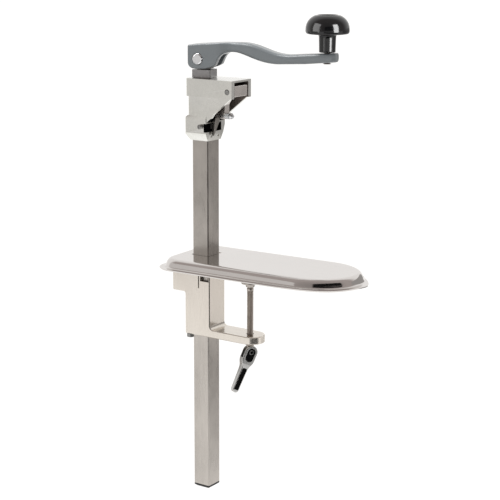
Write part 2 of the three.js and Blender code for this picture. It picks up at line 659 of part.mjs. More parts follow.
// Lever, modelled hanging straight down from its pin, face towards +X.
// Outline of the lever in its own YZ plane, as a shape with x = Y and y = Z.
function leverOutline() {
  const r = LEVER_HUB;
  const tip = 4.6;
  const shape = new THREE.Shape();
  shape.absarc(0, 0, r, 0, Math.PI, false);
  shape.lineTo(-r, -HUB_STRETCH);
  shape.bezierCurveTo(-r, -18, -5.6, -18, -5, -25);
  shape.lineTo(-tip, -LEVER_LENGTH + tip);
  shape.absarc(0, -LEVER_LENGTH + tip, tip, Math.PI, Math.PI * 2, false);
  shape.lineTo(5, -25);
  shape.bezierCurveTo(5.6, -18, r, -18, r, -HUB_STRETCH);
  shape.closePath();
  return shape;
}
function stadium(radius, top, bottom) {
  const shape = new THREE.Shape();
  shape.absarc(0, top, radius, 0, Math.PI, false);
  shape.absarc(0, bottom, radius, Math.PI, Math.PI * 2, false);
  shape.closePath();
  return shape;
}

const FACE = LEVER_THICK / 2;
function clampLever() {
  const slot = TONGUE_THICK / 2 + GAP;
  const taper = carry(shapeOf([[-20, 30], [20, 30], [20, -30], [4.6, -30], [3.6, -70], [-3.6, -70],
    [-4.6, -30], [-20, -30]]), -30, 30);
  return join([overlap(stand(leverOutline(), -FACE, FACE), taper)], [
    box(-slot, slot, -12, 12, -10.5, 12),
    rodX(2.8, -20, 20, 0, 0, 16),
    stand(stadium(6.2, 0, -HUB_STRETCH), FACE - 1.2, FACE + 2),
    stand(stadium(3.3, -25, -53), 2.4, 9),
  ]);
}
piece('clamp_lever', clampLever(), steel(0xc9c9c6, 0.25), leverSet);
piece('lever_inlay', overlap(stand(stadium(3, -25, -53), 2.6, 9),
  carry(shapeOf([[0, 0], [4.4, -20], [4.4, -30], [3.3, -70], [0, -70]]), -10, 10)), black, leverSet);
piece('hub_inlay', join([stand(stadium(5.9, 0, -HUB_STRETCH), FACE - 1, FACE - 0.3)],
  [rodX(3.4, 0, 20, 0, 0, 16)]), black, leverSet);
piece('lever_pin', join([rodX(2.5, -FACE, FACE, 0, 0, 16), rodX(3.1, FACE - 0.9, FACE, 0, 0, 16)],
  [rodX(1.2, FACE - 0.8, FACE + 1, 0, 0, 12)]), chrome, leverSet);

export default opener;
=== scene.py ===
"""Bench-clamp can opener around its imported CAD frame. Built in millimetres, placed in metres.

Every builder below works in millimetres in one of five local frames and ends in place():
POST (bar axis at x = 0), CRANK (x along the crank, from the bar axis), KNOB (knob axis),
SCREW (clamp screw axis, turned so that its x is the way the lever's face looks) and LEVER
(lever pin, tilted with the lever).
"""
import math

import bmesh
import bpy
from mathutils import Matrix, Vector


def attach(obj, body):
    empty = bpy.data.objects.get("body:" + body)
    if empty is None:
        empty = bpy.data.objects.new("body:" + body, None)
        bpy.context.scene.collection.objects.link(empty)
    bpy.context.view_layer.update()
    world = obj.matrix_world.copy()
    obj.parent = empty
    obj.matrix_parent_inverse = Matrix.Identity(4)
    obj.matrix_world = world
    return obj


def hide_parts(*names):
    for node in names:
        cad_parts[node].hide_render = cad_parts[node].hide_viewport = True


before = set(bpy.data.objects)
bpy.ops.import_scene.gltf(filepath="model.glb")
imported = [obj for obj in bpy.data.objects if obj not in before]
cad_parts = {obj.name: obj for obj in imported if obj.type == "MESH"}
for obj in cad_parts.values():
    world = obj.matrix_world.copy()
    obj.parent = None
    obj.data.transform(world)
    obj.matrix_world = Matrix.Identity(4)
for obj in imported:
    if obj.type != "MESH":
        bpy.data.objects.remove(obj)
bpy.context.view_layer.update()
scene = bpy.context.scene

# ------------------------------------------------------------------ dimensions (mm)
BAR_X = -76.0
BAR_HALF, BAR_WALL = 13.45, 3.0
BAR_BOTTOM, BAR_TOP = -328.5, 185.5
BAR_PIN_Y, BAR_PIN_Z = 8.0, 182.5           # two roll pins through bar and collar
HALF_FRAME = 18.5                           # clamp frame, across y
ARM_BOTTOM, ARM_TOP, ARM_END = -102.5, -91.5, 97.5      # its lower arm
SCREW_X = 76.0
BOLT_X, BOLT_Y = -19.2, 12.0
PLATE_YAW = math.radians(2.5)
PLATE_TOP, SHEET = 13.2, 1.5
COLLAR_REAR, COLLAR_FRONT, COLLAR_HALF = -20.0, 16.5, 22.5
COLLAR_SCREW = (8.2, 0, 197.2)
NECK_REAR, NECK_HALF = -14.8, 21.5
BOX_REAR, BOX_END, BOX_HALF = -17.3, 60.3, 23.0
MOUTH_START, MOUTH_HALF = 17.0, 17.0        # opening between the head's side walls
HEAD_TOP = 262.5
CHAMBER_LOW, CHAMBER_HIGH = 189.5, 204.2    # round chamber of the feed wheel
WHEEL_LOW, WHEEL_HIGH, WHEEL_R = 192.5, 200.5, 14.3
SEAT_LOW, SEAT_HIGH = 262.9, 273.9
CRANK_YAW = math.radians(13)
HUB, ARM = 16.5, 11.0                       # half widths of the crank
PIN_S, PIN_Z, PIN_R = -5.0, 288.9, 7.8
KNOB_S = 176.3
PIVOT = (52.7, 0, 247.4)                    # cross pin that the jaw swings on
KNIFE_Y, KNIFE_Z = -3.0, 212.3
THREAD_PITCH = 1.5
LEVER_TURN, LEVER_TILT, LEVER_PIN_Z = math.radians(60), math.radians(24.5), -118.0
FACE = 5.3                                  # half the lever's thickness

MM = Matrix.Scale(0.001, 4)
POST = MM @ Matrix.Translation((BAR_X, 0, 0))
CRANK = POST @ Matrix.Rotation(CRANK_YAW, 4, "Z")
KNOB = CRANK @ Matrix.Translation((KNOB_S, 0, 0))
SCREW = MM @ Matrix.Rotation(LEVER_TURN - math.pi / 2, 4, "Z")
LEVER = SCREW @ Matrix.Translation((0, 0, LEVER_PIN_Z)) @ Matrix.Rotation(-LEVER_TILT, 4, "X")


# ------------------------------------------------------------------ mesh helpers
def new_object(name, verts, faces):
    mesh = bpy.data.meshes.new(name)
    mesh.from_pydata([tuple(v) for v in verts], [], faces)
    obj = bpy.data.objects.new(name, mesh)
    scene.collection.objects.link(obj)
    fix_normals(obj)
    return obj


def fix_normals(obj):
    bm = bmesh.new()
    bm.from_mesh(obj.data)
    bmesh.ops.recalc_face_normals(bm, faces=bm.faces)
    bm.to_mesh(obj.data)
    bm.free()


def apply_modifiers(obj):
    deps = bpy.context.evaluated_depsgraph_get()
    mesh = bpy.data.meshes.new_from_object(obj.evaluated_get(deps))
    old = obj.data
    obj.modifiers.clear()
    obj.data = mesh
    bpy.data.meshes.remove(old)
    return obj


def prism(points, lo, hi, axis="z"):
    """Polygon pulled along an axis: (x, y) for z, (x, z) for y, (y, z) for x."""
    def at(u, v, w):
        return {"z": (u, v, w), "y": (u, w, v), "x": (w, u, v)}[axis]
    n = len(points)
    verts = [at(u, v, lo) for u, v in points] + [at(u, v, hi) for u, v in points]
    faces = [list(range(n)), list(range(n, 2 * n))]
    faces += [[i, (i + 1) % n, n + (i + 1) % n, n + i] for i in range(n)]
    return new_object("part", verts, faces)


def block(x0, x1, y0, y1, z0, z1):
    return prism([(x0, y0), (x1, y0), (x1, y1), (x0, y1)], z0, z1)


def frustum(low, high):
    """Between two rectangles given as (x0, x1, half y, z)."""
    def ring(x0, x1, half, z):
        return [(x0, -half, z), (x1, -half, z), (x1, half, z), (x0, half, z)]
    faces = [[0, 1, 2, 3], [4, 5, 6, 7]] + [[i, (i + 1) % 4, 4 + (i + 1) % 4, 4 + i] for i in range(4)]
    return new_object("part", ring(*low) + ring(*high), faces)


def lathe(profile, steps=64, axis="z", centre=(0, 0, 0)):
    """Turns (radius, height) pairs about an axis through centre; radius 0 ends in a point."""
    verts, rings = [], []
    for r, h in profile:
        if r < 1e-6:
            rings.append([len(verts)])
            verts.append((0, 0, h))
        else:
            rings.append(list(range(len(verts), len(verts) + steps)))
            for i in range(steps):
                a = 2 * math.pi * i / steps
                verts.append((r * math.cos(a), r * math.sin(a), h))
    closed = profile[0] == profile[-1]
    if closed:
        rings[-1] = rings[0]
        if len(rings[0]) > 1:
            verts = verts[:-steps]
    faces = []
    for a, b in zip(rings, rings[1:]):
        for i in range(steps):
            j = (i + 1) % steps
            if len(a) == 1 and len(b) == 1:
                continue
            if len(a) == 1:
                faces.append([a[0], b[i], b[j]])
            elif len(b) == 1:
                faces.append([a[i], a[j], b[0]])
            else:
                faces.append([a[i], a[j], b[j], b[i]])
    if not closed:
        for ring in (rings[0], rings[-1]):
            if len(ring) > 1:
                faces.append(list(ring))
    turn = {"z": lambda x, y, h: (x, y, h), "y": lambda x, y, h: (x, h, -y),
            "x": lambda x, y, h: (h, y, -x)}[axis]
    cx, cy, cz = centre
    moved = []
    for v in verts:
        x, y, z = turn(*v)
        moved.append((x + cx, y + cy, z + cz))
    return new_object("part", moved, faces)


def rod(radius, lo, hi, axis="z", centre=(0, 0, 0), steps=48):
    return lathe([(radius, lo), (radius, hi)], steps, axis, centre)


def boolean(obj, others, operation):
    for other in others:
        mod = obj.modifiers.new("b", "BOOLEAN")
        mod.object = other
        mod.operation = operation
        mod.solver = "EXACT"
        apply_modifiers(obj)
        bpy.data.objects.remove(other, do_unlink=True)
    return obj


def cut(obj, *others):
    return boolean(obj, others, "DIFFERENCE")


def fuse(obj, *others):
    return boolean(obj, others, "UNION")


def common(obj, *others):
    return boolean(obj, others, "INTERSECT")


def clean(obj, merge=0.005):
    """Welds slivers left by a boolean, so that the bevel behaves."""
    bm = bmesh.new()
    bm.from_mesh(obj.data)
    bmesh.ops.remove_doubles(bm, verts=bm.verts, dist=merge)
    bmesh.ops.dissolve_limit(bm, angle_limit=math.radians(0.4), verts=bm.verts, edges=bm.edges)
    bmesh.ops.dissolve_degenerate(bm, dist=merge, edges=bm.edges)
    bm.to_mesh(obj.data)
    bm.free()
    return obj


def bevel(obj, width, segments=3, angle=30):
    clean(obj)
    mod = obj.modifiers.new("bevel", "BEVEL")
    mod.width = width
    mod.segments = segments
    mod.limit_method = "ANGLE"
    mod.angle_limit = math.radians(angle)
    mod.use_clamp_overlap = True
    mod.miter_outer = "MITER_ARC"
    return apply_modifiers(obj)


def join(obj, *others):
    """One object from separate shells that touch or sit inside each other."""
    bm = bmesh.new()
    for o in (obj,) + others:
        bm.from_mesh(o.data)
    bm.to_mesh(obj.data)
    bm.free()
    for o in others:
        bpy.data.objects.remove(o, do_unlink=True)
    return obj


# ------------------------------------------------------------------ 2-D outlines
def arc(cx, cy, r, a0, a1, steps=12, ry=None):
    ry = r if ry is None else ry
    return [(cx + r * math.cos(math.radians(a0 + (a1 - a0) * i / steps)),
             cy + ry * math.sin(math.radians(a0 + (a1 - a0) * i / steps))) for i in range(steps + 1)]


def rounded(points, radii, steps=6):
    """Polygon with its corners rounded. radii is one number or one per corner."""
    n = len(points)
    radii = radii if isinstance(radii, (list, tuple)) else [radii] * n
    out = []
    for i in range(n):
        p = Vector(points[i])
        r = radii[i]
        if r <= 0:
            out.append(tuple(p))
            continue
        a = (Vector(points[i - 1]) - p).normalized()
        b = (Vector(points[(i + 1) % n]) - p).normalized()
        half = math.acos(max(-1, min(1, a.dot(b)))) / 2
        reach = r / math.tan(half)
        centre = p + (a + b).normalized() * (r / math.sin(half))
        start, end = p + a * reach - centre, p + b * reach - centre
        t0 = math.atan2(start.y, start.x)
        t1 = math.atan2(end.y, end.x)
        while t1 - t0 > math.pi:
            t1 -= 2 * math.pi
        while t1 - t0 < -math.pi:
            t1 += 2 * math.pi
        for k in range(steps + 1):
            t = t0 + (t1 - t0) * k / steps
            out.append((centre.x + r * math.cos(t), centre.y + r * math.sin(t)))
    return out


def square(half, radius, steps=6):
    return rounded([(-half, -half), (half, -half), (half, half), (-half, half)], radius, steps)


def bezier(p0, p1, p2, p3, steps=12):
    """Points after p0 along a cubic curve."""
    out = []
    for i in range(1, steps + 1):
        t = i / steps
        a, b, c, d = (1 - t) ** 3, 3 * t * (1 - t) ** 2, 3 * t * t * (1 - t), t ** 3
        out.append((a * p0[0] + b * p1[0] + c * p2[0] + d * p3[0],
                    a * p0[1] + b * p1[1] + c * p2[1] + d * p3[1]))
    return out


def smooth_curve(points, steps=6):
    """Catmull-Rom curve through the points, ends included."""
    pts = [Vector(p) for p in points]
    ext = [2 * pts[0] - pts[1]] + pts + [2 * pts[-1] - pts[-2]]
    out = []
    for i in range(1, len(ext) - 2):
        p0, p1, p2, p3 = ext[i - 1:i + 3]
        for k in range(steps):
            t = k / steps
            out.append(tuple(0.5 * ((2 * p1) + (p2 - p0) * t + (2 * p0 - 5 * p1 + 4 * p2 - p3) * t * t
                                    + (3 * p1 - p0 - 3 * p2 + p3) * t ** 3)))
    out.append(tuple(pts[-1]))
    return out


# ------------------------------------------------------------------ materials
def node(tree, kind, **settings):
    n = tree.nodes.new(kind)
    for key, value in settings.items():
        if key in n.inputs:
            n.inputs[key].default_value = value
        else:
            setattr(n, key, value)
    return n


def stretched_noise(tree, scale, stretch=(1, 1, 1), detail=3.0, roughness=0.55):
    coord = node(tree, "ShaderNodeTexCoord")
    mapping = node(tree, "ShaderNodeMapping")
    mapping.inputs["Scale"].default_value = stretch
    noise = node(tree, "ShaderNodeTexNoise", Scale=scale, Detail=detail, Roughness=roughness)
    tree.links.new(coord.outputs["Object"], mapping.inputs["Vector"])
    tree.links.new(mapping.outputs["Vector"], noise.inputs["Vector"])
    return noise.outputs["Fac"]


def remap(tree, value, low, high, from_low=0.3, from_high=0.7):
    n = node(tree, "ShaderNodeMapRange")
    n.inputs["From Min"].default_value = from_low
    n.inputs["From Max"].default_value = from_high
    n.inputs["To Min"].default_value = low
    n.inputs["To Max"].default_value = high
    tree.links.new(value, n.inputs["Value"])
    return n.outputs["Result"]


def mix_colour(tree, factor, a, b):
    n = node(tree, "ShaderNodeMix", data_type="RGBA")
    if isinstance(factor, (int, float)):
        n.inputs["Factor"].default_value = factor
    else:
        tree.links.new(factor, n.inputs["Factor"])
    for slot, value in ((6, a), (7, b)):
        if isinstance(value, tuple):
            n.inputs[slot].default_value = (*value, 1)
        else:
            tree.links.new(value, n.inputs[slot])
    return n.outputs[2]


def maths(tree, operation, a, b):
    n = node(tree, "ShaderNodeMath", operation=operation)
    for slot, value in ((0, a), (1, b)):
        if isinstance(value, (int, float)):
            n.inputs[slot].default_value = value
        else:
            tree.links.new(value, n.inputs[slot])
    return n.outputs[0]


def times(tree, a, b):
    return maths(tree, "MULTIPLY", a, b)


def plus(tree, a, b):
    return maths(tree, "ADD", a, b)


def srgb(hex_code):
    out = []
    for shift in (16, 8, 0):
        c = ((hex_code >> shift) & 255) / 255
        out.append(c / 12.92 if c <= 0.04045 else ((c + 0.055) / 1.055) ** 2.4)
    return tuple(out)


def shade(colour, factor):
    return tuple(min(1.0, c * factor) for c in colour)


def finish_material(name, colour, roughness, metallic, grain=(1, 1, 1), grain_scale=900, grain_depth=0.15,
                    grain_rough=0.06, blotch=0.1, blotch_scale=30, blotch_rough=0.05, wear=0.15,
                    coat=0.0, waviness=0.0, wave_scale=18, specular=0.5):
    """Principled surface with directional grain, large soft blotches, worn edges and slight waviness.

    Scales count noise cells to the metre, and grain stretches the fine noise along an axis.
    """
    mat = bpy.data.materials.new(name)
    mat.use_nodes = True
    tree = mat.node_tree
    bsdf = tree.nodes["Principled BSDF"]
    bsdf.inputs["Metallic"].default_value = metallic
    bsdf.inputs["Specular IOR Level"].default_value = specular
    bsdf.inputs["Coat Weight"].default_value = coat
    bsdf.inputs["Coat Roughness"].default_value = 0.08
    fine = stretched_noise(tree, grain_scale, grain, 4, 0.6)
    large = stretched_noise(tree, blotch_scale, (1, 1, 0.6), 4, 0.6)
    base = mix_colour(tree, remap(tree, large, 0, 1), shade(colour, 1 - blotch), shade(colour, 1 + blotch))
    base = mix_colour(tree, remap(tree, fine, 0, 1), base, mix_colour(tree, 0.25, base, shade(colour, 0.75)))
    edge = node(tree, "ShaderNodeNewGeometry").outputs["Pointiness"]
    base = mix_colour(tree, remap(tree, edge, 0, wear, 0.52, 0.62), base, shade(colour, 1.5))
    tree.links.new(base, bsdf.inputs["Base Color"])
    rough = plus(tree, remap(tree, fine, roughness - grain_rough, roughness + grain_rough),
                 remap(tree, large, -blotch_rough, blotch_rough))
    tree.links.new(rough, bsdf.inputs["Roughness"])
    bump = node(tree, "ShaderNodeBump", Strength=grain_depth, Distance=0.0002)
    tree.links.new(fine, bump.inputs["Height"])
    last = bump
    if waviness:
        wave = node(tree, "ShaderNodeBump", Strength=waviness, Distance=0.002)
        tree.links.new(stretched_noise(tree, wave_scale, (1, 1, 1), 1, 0.4), wave.inputs["Height"])
        tree.links.new(last.outputs["Normal"], wave.inputs["Normal"])
        last = wave
    tree.links.new(last.outputs["Normal"], bsdf.inputs["Normal"])
    return mat


ALONG_X, ALONG_Y, ALONG_Z = (0.03, 1, 1), (1, 0.03, 1), (1, 1, 0.03)
M = {
    "bar": finish_material(
        "bar_mill_steel", srgb(0xb7b2ac), 0.34, 1, grain=ALONG_Z, grain_scale=1400, grain_depth=0.25,
        grain_rough=0.10, blotch=0.18, blotch_scale=26, blotch_rough=0.06, wear=0.25, waviness=0.12,
        wave_scale=30),
    # painted shade: a darker, half-metal grey copy of the nickel for the walls of the head's mouth and box
    # and the frame's guide hole, standing in for the shade inside them
    "cavity": finish_material(
        "cavity_painted_shade_nickel", srgb(0x756d67), 0.42, 0.5, grain_scale=700, grain_depth=0.2,
        grain_rough=0.05, blotch=0.25, blotch_scale=40, wear=0.02),
    # painted shadow: a near-black matt material for the head's chamber, window and bores, the knob's recess
    # and the lever pin's dished end, standing in for the shadow in them
    "shadow_paint": finish_material(
        "cavity_black_painted_shadow", srgb(0x040404), 0.8, 0, grain_scale=700, grain_depth=0.2, grain_rough=0.05,
        blotch=0.2, blotch_scale=60, wear=0.02, specular=0.05),
    "jaw": finish_material(
        "jaw_cast_nickel", srgb(0xe4ded9), 0.27, 1, grain_depth=0.12, grain_rough=0.05, blotch_scale=60,
        wear=0.2, waviness=0.1, wave_scale=80),
    "frame": finish_material(
        "frame_satin_nickel", srgb(0xdcd5cc), 0.22, 1, grain=ALONG_Z, grain_scale=1300, grain_depth=0.12,
        grain_rough=0.05, blotch=0.04, blotch_scale=25, blotch_rough=0.04, wear=0.1, waviness=0.05),
    "plate": finish_material(
        "plate_polished_steel", srgb(0xd9d5d2), 0.09, 1, grain=ALONG_X, grain_depth=0.03,
        grain_rough=0.02, blotch=0.02, blotch_scale=9, blotch_rough=0.02, wear=0.0, waviness=0.14,
        wave_scale=11),
    "head": finish_material(
        "head_cast_nickel", srgb(0xe2e2dc), 0.22, 1, grain_scale=260, grain_depth=0.06, grain_rough=0.04,
        blotch=0.07, wear=0.3, waviness=0.25, wave_scale=45),
    "crank": finish_material(
        "crank_grey_paint", srgb(0x6a7073), 0.33, 0, grain_scale=600, grain_depth=0.10, grain_rough=0.03,
        blotch=0.04, blotch_scale=40, blotch_rough=0.03, wear=0.05, coat=0.35, waviness=0.06,
        wave_scale=150),
    "knob": finish_material(
        "knob_gloss_black", srgb(0x060607), 0.14, 0, grain_scale=300, grain_depth=0.02, grain_rough=0.02,
        blotch_scale=60, blotch_rough=0.03, wear=0.02, waviness=0.03, wave_scale=40),
    "cap_grey": finish_material(
        "cap_grey_plastic", srgb(0xb4b4b2), 0.30, 0, grain_scale=800, grain_depth=0.1, grain_rough=0.04,
        blotch=0.03, blotch_scale=80, blotch_rough=0.03, wear=0.05),
    "cap_black": finish_material(
        "end_cap_plastic", srgb(0x0c0c0d), 0.45, 0, grain_scale=1500, grain_depth=0.3, grain_rough=0.05,
        blotch_scale=90, blotch_rough=0.04, wear=0.05),
    "seat": finish_material(
        "seat_dark_steel", srgb(0xa2a1a1), 0.38, 1, grain=ALONG_Y, grain_scale=1200, grain_depth=0.2,
        grain_rough=0.08, blotch_scale=60, wear=0.3),
    "spindle": finish_material(
        "spindle_steel", srgb(0x75726e), 0.36, 1, grain=ALONG_Z, grain_scale=1100, blotch_scale=70,
        wear=0.3),
    "pin": finish_material(
        "pin_steel", srgb(0x9a9a98), 0.28, 1, grain_scale=1500, grain_depth=0.12, grain_rough=0.05,
        blotch=0.08, blotch_scale=120, wear=0.3),
    "chrome": finish_material(
        "bright_chrome", srgb(0xe6e8ea), 0.07, 1, grain_depth=0.03, grain_rough=0.02, blotch=0.02,
        blotch_scale=80, blotch_rough=0.02, wear=0.0),
    "knife": finish_material(
        "knife_steel", srgb(0x9a9690), 0.22, 1, grain=ALONG_Y, grain_scale=1700, grain_rough=0.05,
        blotch=0.04, blotch_scale=90, blotch_rough=0.04, wear=0.3),
    "wheel": finish_material(
        "wheel_hardened_steel", srgb(0x54524f), 0.40, 1, grain_scale=1500, grain_depth=0.25,
        grain_rough=0.08, blotch=0.15, blotch_scale=90, blotch_rough=0.06, wear=0.4),
    "screw": finish_material(
        "clamp_screw_steel", srgb(0xb8b0a8), 0.34, 1, grain_scale=1200, grain_rough=0.07, blotch=0.12,
        blotch_scale=60, wear=0.3),
    "foot": finish_material(
        "foot_steel", srgb(0xb3ada6), 0.32, 1, grain_scale=1200, blotch=0.08, blotch_scale=80, wear=0.3),
    "lever": finish_material(
        "lever_silver", srgb(0xc2c2c0), 0.24, 1, grain=ALONG_Z, grain_scale=1100, grain_depth=0.08,
        grain_rough=0.05, blotch=0.04, blotch_scale=90, wear=0.2),
    "inlay": finish_material(
        "inlay_black", srgb(0x030303), 0.5, 0, grain_depth=0.1, grain_rough=0.05, blotch_scale=90,
        blotch_rough=0.04, wear=0.02, specular=0.08),
    "zinc": finish_material(
        "zinc_steel", srgb(0x8f8f8d), 0.34, 1, grain_scale=1300, blotch_scale=140, wear=0.3),
    "bronze": finish_material(
        "bearing_bronze", srgb(0xa9824e), 0.36, 1, grain_scale=1200, blotch_scale=80, wear=0.2),
    "liner": finish_material(
        "liner_plastic", srgb(0xd6d2c6), 0.5, 0, grain=ALONG_Z, grain_rough=0.05, blotch=0.05,
        blotch_scale=60, blotch_rough=0.04, wear=0.0),
}


# ------------------------------------------------------------------ placing pieces
def place(obj, name, matrix, body, material, nodes, smooth=32, inside=None):
    """inside(x, y, z, normal), in mm, is 1 for faces that get a grey painted shade and 2 for faces that get a
    black painted shadow.
    """
    obj.name = name
    obj.data.name = name
    fix_normals(obj)
    hollow = [inside(*poly.center, poly.normal) if inside else 0 for poly in obj.data.polygons]
    obj.data.transform(matrix)
    fix_normals(obj)
    for poly in obj.data.polygons:
        poly.use_smooth = True
    obj.data.set_sharp_from_angle(angle=math.radians(smooth))
    mod = obj.modifiers.new("normals", "WEIGHTED_NORMAL")
    mod.keep_sharp = True
    mod.weight = 80
    obj.data.materials.clear()
    obj.data.materials.append(M[material])
    # painted shade and painted shadow: give the chosen faces the grey shade or the black shadow material
    if inside:
        for extra in ("cavity", "shadow_paint"):
            obj.data.materials.append(M[extra])
        for poly, index in zip(obj.data.polygons, hollow):
            poly.material_index = index
    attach(obj, body)
    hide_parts(*nodes)
    return obj


# ------------------------------------------------------------------ bar and its end cap
bar = prism(square(BAR_HALF, 1.3, 1), BAR_BOTTOM, BAR_TOP)
cut(bar, prism(square(BAR_HALF - BAR_WALL, 0.8), BAR_BOTTOM - 1, BAR_TOP + 1))
cut(bar, *(rod(1.9, -30, 30, "x", (0, y, BAR_PIN_Z), 24) for y in (-BAR_PIN_Y, BAR_PIN_Y)))
place(bevel(bar, 0.3, 2, 60), "bar_tube", POST, "slide_bar", "bar", ["square_bar"])

cap = fuse(frustum((-10.2, 10.2, 10.2, BAR_BOTTOM - 5.0), (-13.1, 13.1, 13.1, BAR_BOTTOM - 1.8)),
           prism(square(13.35, 1.6), BAR_BOTTOM - 2.6, BAR_BOTTOM - 0.3),
           prism(square(10.1, 0.6), BAR_BOTTOM - 1, BAR_BOTTOM + 16))
place(bevel(cap, 0.5, 2, 25), "bar_foot_cap", POST, "slide_bar", "cap_black",
      ["bar_end_cap"])

# ------------------------------------------------------------------ clamp frame
side = [(-24, ARM_BOTTOM), (ARM_END, ARM_BOTTOM), (ARM_END, ARM_TOP)]
side += arc(25, -85.5, 6, -90, -180, 8)
side += [(19, 0), (ARM_END, 0), (ARM_END, 8), (-33, 8), (-33, -0.3), (-46, -0.3), (-46, -41.5),
         (-25.5, -41.5), (-24, -43)]
plan = [(-46, -HALF_FRAME)] + arc(ARM_END - HALF_FRAME, 0, HALF_FRAME, -90, 90, 24) + [(-46, HALF_FRAME)]
clamp = bevel(common(prism(side, -HALF_FRAME, HALF_FRAME, "y"), prism(plan, -110, 20)), 1.3, 1, 35)
cut(clamp,
    prism(square(15.2, 1.8), -110, 20),
    block(-0.8, 0.8, -20, -13.8, -33, 20),                      # saw cut
    block(2.8, 17.5, -20, -13.8, -22.5, 20),                    # window beside it
    rod(5.3, -110, -80, "z", (SCREW_X, 0, 0)),
    *(rod(3.3, -110, -62, "z", (BOLT_X, y, 0), 24) for y in (-BOLT_Y, BOLT_Y)))
# painted shade: faces inside the frame's guide hole get the grey shade material
place(bevel(clamp, 0.3, 2, 60), "clamp_body", POST, "base", "frame", ["clamp_frame"], 28,
      lambda x, y, z, n: int(abs(x) < 15.3 and abs(y) < 15.3 and z > -102))


def hex_bolt(x, y):
    head = prism([(5.75 * math.cos(math.radians(60 * i)) + x, 5.75 * math.sin(math.radians(60 * i)) + y)
                  for i in range(6)], -108.5, -102.8)
    crown = lathe([(0, -108.5), (4.6, -108.5), (6.6, -107.2), (6.6, -102.8), (0, -102.8)], 48, "z", (x, y, 0))
    return fuse(common(head, crown), rod(3.0, -103.5, -64, "z", (x, y, 0), 32))


for i, y in enumerate((-BOLT_Y, BOLT_Y)):
    place(bevel(hex_bolt(BOLT_X, y), 0.25, 2, 28), f"frame_bolt_{i + 1}", POST, "base", "zinc",
          [f"guide_bolt_{i + 1}"])


# ------------------------------------------------------------------ pressed base plate
SIDE_POINTS, CORNER_POINTS, NOSE_POINTS = 24, 14, 64


def evenly(points, count):
    """count + 1 points at equal steps along a polyline."""
    pts = [Vector(p) for p in points]
    reach = [0.0]
    for a, b in zip(pts, pts[1:]):
        reach.append(reach[-1] + (b - a).length)
    out, k = [], 0
    for i in range(count + 1):
        want = reach[-1] * i / count
        while k < len(pts) - 2 and reach[k + 1] < want:
            k += 1
        t = (want - reach[k]) / (reach[k + 1] - reach[k])
        out.append(tuple(pts[k].lerp(pts[k + 1], min(1.0, t))))
    return out


def outline_ring(rear, half, corner, bend, nose):
    """Outline with the same number of points for any size, so that rings can be joined.

    Rounded rear corners and straight sides as far as x = bend, then the nose's own points.
    """
    x0 = rear + corner
    pts = arc(x0, -half + corner, corner, 180, 270, CORNER_POINTS)
    pts += [(x0 + (bend - x0) * i / SIDE_POINTS, -half) for i in range(1, SIDE_POINTS)]
    pts += evenly(nose, NOSE_POINTS)
    pts += [(bend + (x0 - bend) * i / SIDE_POINTS, half) for i in range(1, SIDE_POINTS)]
    return pts + arc(x0, half - corner, corner, 90, 180, CORNER_POINTS)


def plate_ring(rear, front, half, corner, nose):
    """Edge of the raised part at some height: its nose is half an ellipse."""
    bend = front - nose
    return outline_ring(rear, half, corner, bend, arc(bend, 0, nose, -90, 90, NOSE_POINTS, half))


def rim_ring():
    """Edge of the flat rim: straight sides and a blunt point at the nose."""
    half, bend, tip = 71.0, 120.0, (258, 0)
    nose = [(bend, -half)] + bezier((bend, -half), (215, -half), (246, -62), tip, 40)
    nose += bezier(tip, (240, 50), (190, half), (bend, half), 40)
    return outline_ring(-45.0, half, 30.0, bend, nose)


# Section of the plate: flat rim as (share of the way from its edge to the foot of the wall, height),
# then the wall from its foot fillet to its rounded shoulder as (inset, height).
RIM_SECTION = ((0.0, 1.15), (0.06, 1.42), (0.14, SHEET), (0.5, SHEET), (0.9, SHEET))
WALL_SECTION = ((-1.5, 1.62), (-0.7, 2.0), (-0.1, 2.7), (0.35, 3.6), (0.7, 4.6), (1.25, 6.2), (1.9, 7.8),
                (2.7, 9.4), (3.9, 11.0), (5.3, 12.2), (6.8, 12.9), (8.2, 13.15), (9.6, PLATE_TOP))


def pressed_plate():
    rows = []
    rim, foot = rim_ring(), plate_ring(-42.4, 247.9, 63.4, 28.0, 72.9)
    for t, z in RIM_SECTION:
        rows.append(([tuple(Vector(a).lerp(Vector(b), t)) for a, b in zip(rim, foot)], z))
    for inset, z in WALL_SECTION:
        rows.append((plate_ring(-40 + inset, 245.5 - inset, 61 - inset, 26 - 0.6 * inset, 70.5 - inset), z))
    n = len(rows[0][0])
    verts = [(x, y, z) for ring, z in rows for x, y in ring]
    faces = []
    for k in range(len(rows) - 1):
        for i in range(n):
            j = (i + 1) % n
            faces.append([k * n + i, k * n + j, (k + 1) * n + j, (k + 1) * n + i])
    faces.append([(len(rows) - 1) * n + i for i in range(n)])
    plate = new_object("part", verts, faces)
    bm = bmesh.new()
    bm.from_mesh(plate.data)
    up = [f for f in bm.faces if len(f.verts) > 4][0]
    if up.normal.z < 0:
        bmesh.ops.reverse_faces(bm, faces=bm.faces)
    bm.to_mesh(plate.data)
    bm.free()
    mod = plate.modifiers.new("sheet", "SOLIDIFY")
    mod.thickness = SHEET
    mod.offset = -1
    apply_modifiers(plate)
    plate.data.transform(Matrix.Rotation(PLATE_YAW, 4, "Z"))
    cut(plate, prism(rounded([(-15.8, -14.1), (14.1, -14.1), (14.1, 18.6), (-15.8, 18.6)], 1.2), 4, 20))
    return plate


place(pressed_plate(), "plate_top", POST, "base", "plate", ["base_plate"], 50)

# ------------------------------------------------------------------ cast head
def squared_front(rear, front, half, radius):
    return rounded([(front, -half), (front, half), (rear, half), (rear, -half)], [0, 0, radius, radius], 6)


